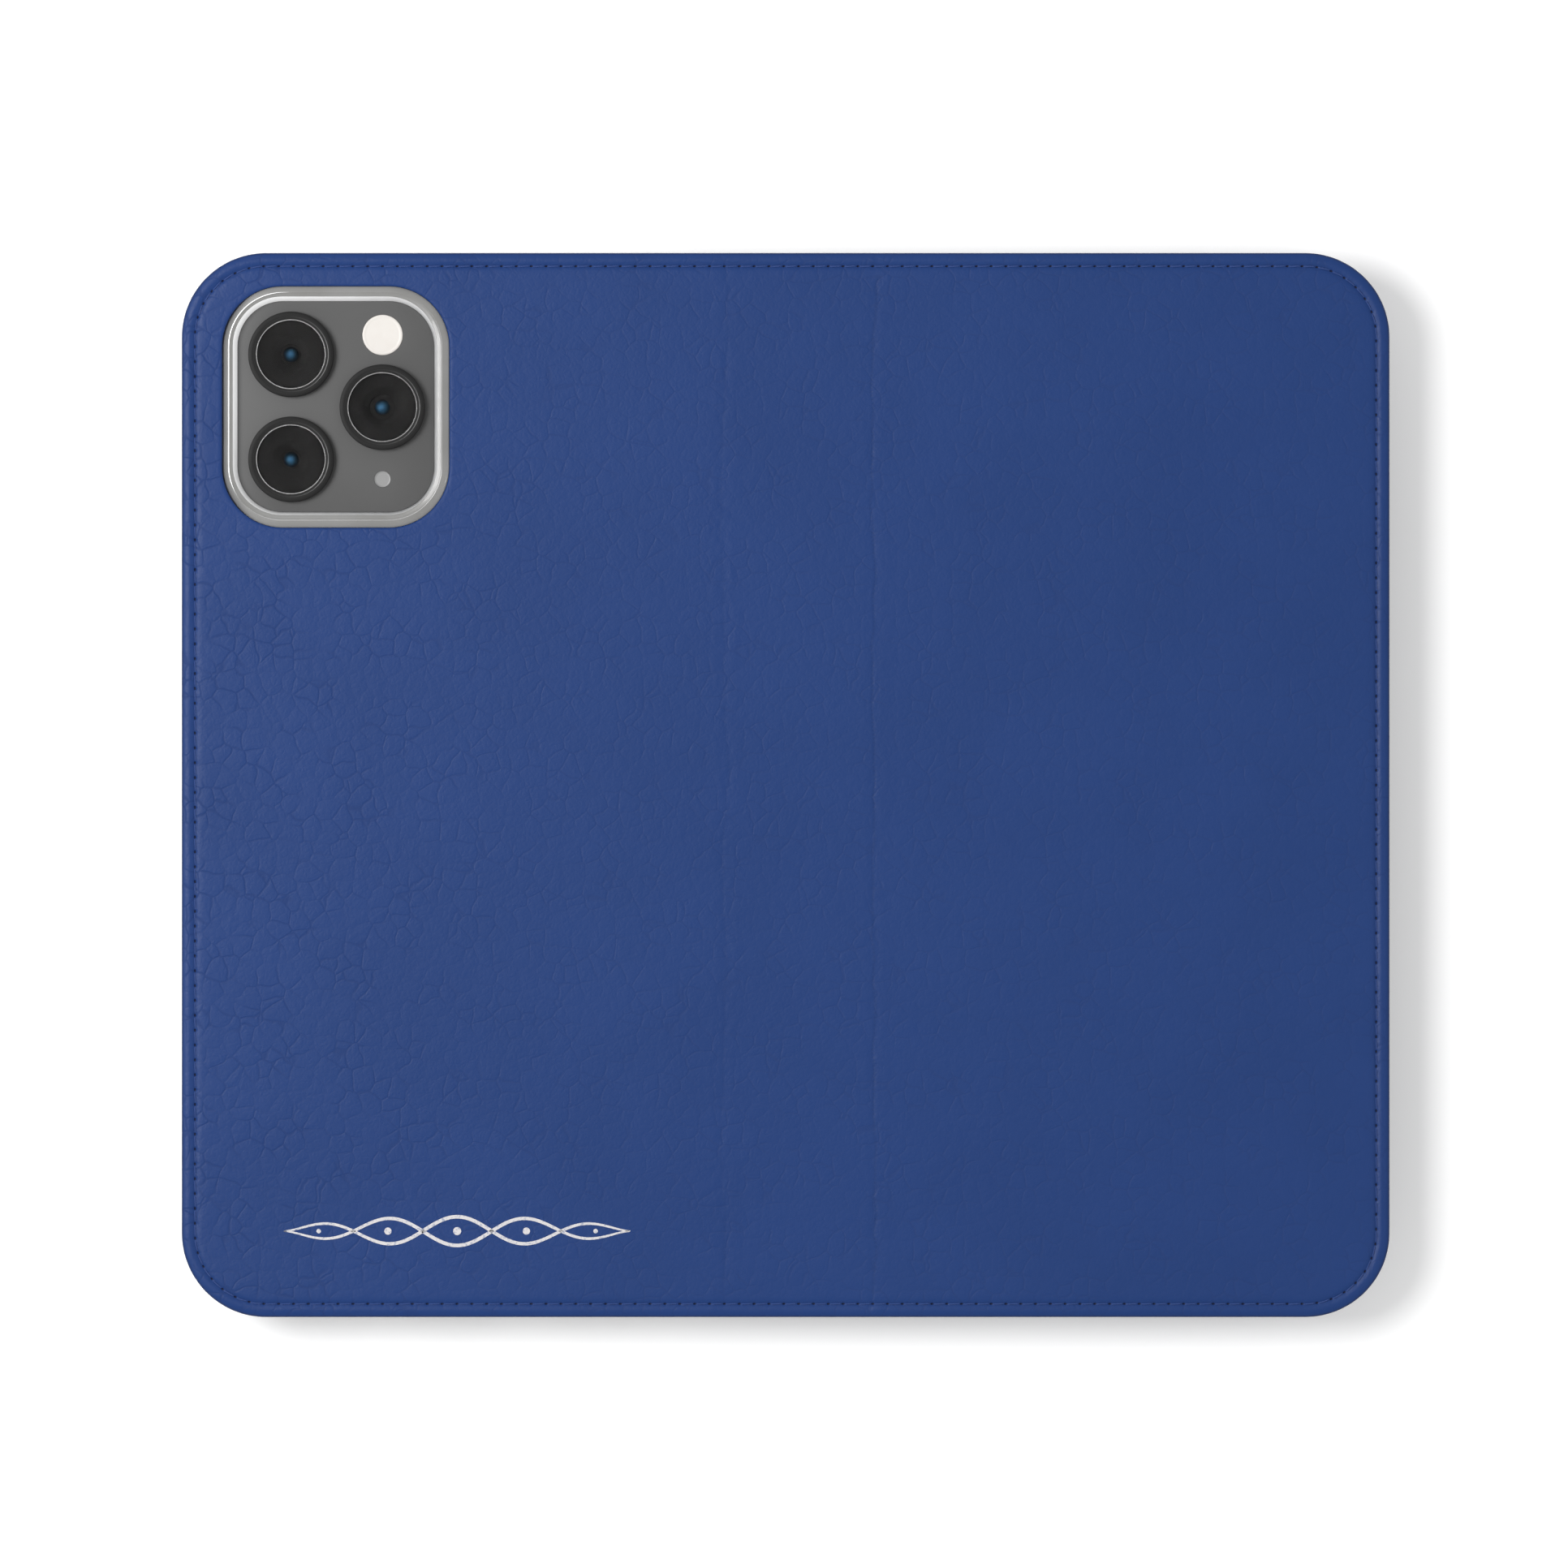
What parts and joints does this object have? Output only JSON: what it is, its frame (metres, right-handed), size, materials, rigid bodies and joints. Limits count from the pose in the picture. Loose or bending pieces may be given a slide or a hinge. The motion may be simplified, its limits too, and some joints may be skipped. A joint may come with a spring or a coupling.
{
  "type": "phone wallet case",
  "caption": "Book-style phone wallet case of stitched grained leather, lying open with its outer side up; a hard shell holds a phone whose camera shows through a window.",
  "frame": {"origin": "under the middle of the open case, on the surface that the shell's rim rests on", "axes": "+X from the back cover's fore edge to the front cover's fore edge, +Y from the phone's bottom to its top, +Z out of the case's outer side"},
  "size_m": [0.185, 0.163, 0.0126],
  "materials": {
    "cover_leather": "semi-matt grained blue faux leather, stitched edge",
    "board": "greyboard stiffener",
    "lining": "fine dark microfibre",
    "pocket_leather": "smooth dark faux leather",
    "thread": "light blue sewing thread",
    "adhesive": "double-sided adhesive sheet",
    "shell": "frosted translucent polycarbonate",
    "phone_metal": "dark satin metal",
    "phone_back_glass": "matt dark grey glass",
    "screen_glass": "gloss black glass",
    "plateau_glass": "matt dark grey glass",
    "lens_ring": "dark satin anodised ring",
    "lens_glass": "coated dark cover glass",
    "lens_element": "coated blue front element",
    "flash": "warm white diffuser",
    "microphone": "light grey grille"
  },
  "bodies": {
    "back_cover": {"back_leather": "cover_leather", "back_board": "board", "back_lining": "lining", "back_thread": "thread", "shell_adhesive": "adhesive", "shell": "shell"},
    "spine": {"spine_leather": "cover_leather", "spine_board": "board", "spine_lining": "lining", "spine_thread_top": "thread", "spine_thread_bottom": "thread"},
    "front_cover": {"front_leather": "cover_leather", "front_board": "board", "front_lining": "lining", "front_thread": "thread", "cash_pocket": "pocket_leather", "card_pocket_1": "pocket_leather", "card_pocket_2": "pocket_leather", "card_pocket_3": "pocket_leather"},
    "phone": {"phone_body": "phone_metal", "phone_back_glass": "phone_back_glass", "phone_screen_glass": "screen_glass", "camera_plateau": "plateau_glass", "lens_ring_1": "lens_ring", "lens_ring_2": "lens_ring", "lens_ring_3": "lens_ring", "lens_glass_1": "lens_glass", "lens_glass_2": "lens_glass", "lens_glass_3": "lens_glass", "lens_element_1": "lens_element", "lens_element_2": "lens_element", "lens_element_3": "lens_element", "flash_lens": "flash", "microphone_grille": "microphone"},
    "side_button": {"side_button": "phone_metal"},
    "volume_up_button": {"volume_up_button": "phone_metal"},
    "volume_down_button": {"volume_down_button": "phone_metal"},
    "ring_switch": {"ring_switch": "phone_metal"}
  },
  "joints": [
    {"name": "back_crease", "type": "hinge", "parent": "back_cover", "child": "spine", "pos_m": [-0.0094, 0, 0.01215], "axis": [0, 1, 0], "range_deg": [-90, 90]},
    {"name": "front_crease", "type": "hinge", "parent": "spine", "child": "front_cover", "pos_m": [0.0134, 0, 0.01215], "axis": [0, 1, 0], "range_deg": [-90, 94]},
    {"name": "phone_slide", "type": "slide", "parent": "back_cover", "child": "phone", "axis": [0, 0, 1], "range_m": [-0.03, 0]},
    {"name": "side_button_press", "type": "slide", "parent": "phone", "child": "side_button", "axis": [1, 0, 0], "range_m": [0, 0.0003], "stiffness_N_per_m": 5000},
    {"name": "volume_up_press", "type": "slide", "parent": "phone", "child": "volume_up_button", "axis": [-1, 0, 0], "range_m": [0, 0.0003], "stiffness_N_per_m": 5000},
    {"name": "volume_down_press", "type": "slide", "parent": "phone", "child": "volume_down_button", "axis": [-1, 0, 0], "range_m": [0, 0.0003], "stiffness_N_per_m": 5000},
    {"name": "ring_switch_slide", "type": "slide", "parent": "phone", "child": "ring_switch", "axis": [0, 0, 1], "range_m": [0, 0.001]}
  ]
}
